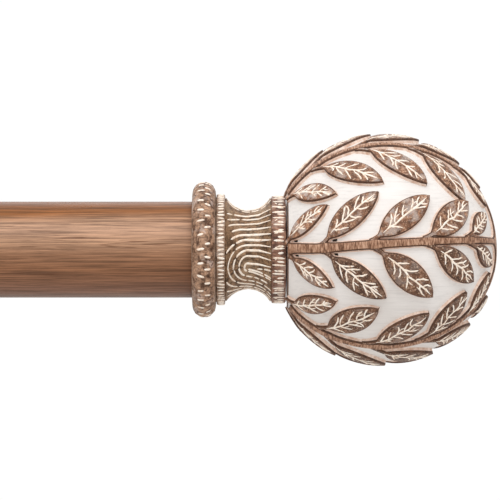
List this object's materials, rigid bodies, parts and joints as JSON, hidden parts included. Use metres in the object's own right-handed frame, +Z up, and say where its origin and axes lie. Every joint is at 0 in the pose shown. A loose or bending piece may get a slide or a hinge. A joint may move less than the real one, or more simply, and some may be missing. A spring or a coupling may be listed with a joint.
{
  "type": "curtain rod with brackets",
  "caption": "Telescopic curtain rod in an oak-look finish on two wall brackets, with carved-leaf ball finials that unscrew from its ends.",
  "frame": {"origin": "on the wall plane, level with the rod's axis and midway between the two brackets", "axes": "+X along the rod towards its thicker end, +Y into the wall, +Z up; the room is on the -Y side"},
  "size_m": [0.6186, 0.1515, 0.076],
  "materials": {
    "oak_film": "steel tube in a satin printed oak-grain film",
    "carved_brown": "cast resin, stained brown with cream wiped into its grooves",
    "ivory": "cast resin, brushed ivory paint",
    "leaf_brown": "cast resin, brown with cream veins",
    "bronze_paint": "satin brown powder coat",
    "zinc": "zinc plated",
    "brass": "machined",
    "nylon": "natural nylon"
  },
  "bodies": {
    "bases": {"right_wall_plate": "bronze_paint", "right_post": "bronze_paint", "right_upper_wall_screw": "zinc", "right_lower_wall_screw": "zinc", "right_upper_wall_anchor": "nylon", "right_lower_wall_anchor": "nylon", "left_wall_plate": "bronze_paint", "left_post": "bronze_paint", "left_upper_wall_screw": "zinc", "left_lower_wall_screw": "zinc", "left_upper_wall_anchor": "nylon", "left_lower_wall_anchor": "nylon"},
    "right_support": {"right_arm": "bronze_paint", "right_cradle": "bronze_paint"},
    "left_support": {"left_arm": "bronze_paint", "left_cradle": "bronze_paint"},
    "rod": {"outer_tube": "oak_film", "outer_tube_guide_ring": "nylon", "right_tube_plug": "nylon", "right_plug_insert": "brass"},
    "inner_rod": {"inner_tube": "oak_film", "inner_tube_glide": "nylon", "inner_tube_end_sleeve": "oak_film", "left_tube_plug": "nylon", "left_plug_insert": "brass"},
    "right_bolt": {"right_hanger_bolt": "zinc"},
    "right_finial": {"right_finial_ball": "ivory", "right_finial_neck": "carved_brown", "right_finial_bead_ring": "carved_brown", "right_leaf_spray_1": "leaf_brown", "right_leaf_spray_2": "leaf_brown", "right_leaf_spray_3": "leaf_brown", "right_leaf_spray_4": "leaf_brown", "right_leaf_spray_5": "leaf_brown", "right_leaf_spray_6": "leaf_brown"},
    "right_lock_pad": {"right_lock_tip": "nylon"},
    "right_lock_knob": {"right_lock_screw": "bronze_paint"},
    "right_clamp_pad": {"right_clamp_tip": "nylon"},
    "right_clamp_knob": {"right_clamp_screw": "bronze_paint"},
    "left_bolt": {"left_hanger_bolt": "zinc"},
    "left_finial": {"left_finial_ball": "ivory", "left_finial_neck": "carved_brown", "left_finial_bead_ring": "carved_brown", "left_leaf_spray_1": "leaf_brown", "left_leaf_spray_2": "leaf_brown", "left_leaf_spray_3": "leaf_brown", "left_leaf_spray_4": "leaf_brown", "left_leaf_spray_5": "leaf_brown", "left_leaf_spray_6": "leaf_brown"},
    "left_lock_pad": {"left_lock_tip": "nylon"},
    "left_lock_knob": {"left_lock_screw": "bronze_paint"},
    "left_clamp_pad": {"left_clamp_tip": "nylon"},
    "left_clamp_knob": {"left_clamp_screw": "bronze_paint"}
  },
  "joints": [
    {"name": "right_arm_depth", "type": "slide", "parent": "bases", "child": "right_support", "axis": [0, -1, 0], "range_m": [0, 0.02]},
    {"name": "left_arm_depth", "type": "slide", "parent": "bases", "child": "left_support", "axis": [0, -1, 0], "range_m": [0, 0.02]},
    {"name": "rod_lift", "type": "slide", "parent": "right_support", "child": "rod", "axis": [0, 0, 1], "range_m": [0, 0.045]},
    {"name": "telescope", "type": "slide", "parent": "rod", "child": "inner_rod", "axis": [-1, 0, 0], "range_m": [0, 0.254]},
    {"name": "right_finial_advance", "type": "slide", "parent": "rod", "child": "right_bolt", "axis": [1, 0, 0], "range_m": [0, 0.012]},
    {"name": "right_finial_turn", "type": "hinge", "parent": "right_bolt", "child": "right_finial", "pos_m": [0.2286, -0.089, 0], "axis": [1, 0, 0], "range_deg": [0, 4320]},
    {"name": "left_finial_advance", "type": "slide", "parent": "inner_rod", "child": "left_bolt", "axis": [-1, 0, 0], "range_m": [0, 0.012]},
    {"name": "left_finial_turn", "type": "hinge", "parent": "left_bolt", "child": "left_finial", "pos_m": [-0.2286, -0.089, 0], "axis": [-1, 0, 0], "range_deg": [0, 4320]},
    {"name": "right_clamp_advance", "type": "slide", "parent": "right_support", "child": "right_clamp_pad", "axis": [0, 0, -1], "range_m": [0, 0.004]},
    {"name": "right_clamp_turn", "type": "hinge", "parent": "right_clamp_pad", "child": "right_clamp_knob", "pos_m": [0.1386, -0.089, -0.02], "axis": [0, 0, -1], "range_deg": [0, 1800]},
    {"name": "right_lock_advance", "type": "slide", "parent": "bases", "child": "right_lock_pad", "axis": [0, 0, -1], "range_m": [0, 0.004]},
    {"name": "right_lock_turn", "type": "hinge", "parent": "right_lock_pad", "child": "right_lock_knob", "pos_m": [0.1386, -0.044, -0.02], "axis": [0, 0, -1], "range_deg": [0, 1800]},
    {"name": "left_clamp_advance", "type": "slide", "parent": "left_support", "child": "left_clamp_pad", "axis": [0, 0, -1], "range_m": [0, 0.004]},
    {"name": "left_clamp_turn", "type": "hinge", "parent": "left_clamp_pad", "child": "left_clamp_knob", "pos_m": [-0.1386, -0.089, -0.02], "axis": [0, 0, -1], "range_deg": [0, 1800]},
    {"name": "left_lock_advance", "type": "slide", "parent": "bases", "child": "left_lock_pad", "axis": [0, 0, -1], "range_m": [0, 0.004]},
    {"name": "left_lock_turn", "type": "hinge", "parent": "left_lock_pad", "child": "left_lock_knob", "pos_m": [-0.1386, -0.044, -0.02], "axis": [0, 0, -1], "range_deg": [0, 1800]}
  ],
  "couplings": [
    {"joint": "left_arm_depth", "follows": "right_arm_depth", "ratio": 1},
    {"joint": "right_finial_turn", "follows": "right_finial_advance", "rad_per_m": 6283.2},
    {"joint": "left_finial_turn", "follows": "left_finial_advance", "rad_per_m": 6283.2},
    {"joint": "right_clamp_turn", "follows": "right_clamp_advance", "rad_per_m": 7854},
    {"joint": "right_lock_turn", "follows": "right_lock_advance", "rad_per_m": 7854},
    {"joint": "left_clamp_turn", "follows": "left_clamp_advance", "rad_per_m": 7854},
    {"joint": "left_lock_turn", "follows": "left_lock_advance", "rad_per_m": 7854}
  ]
}
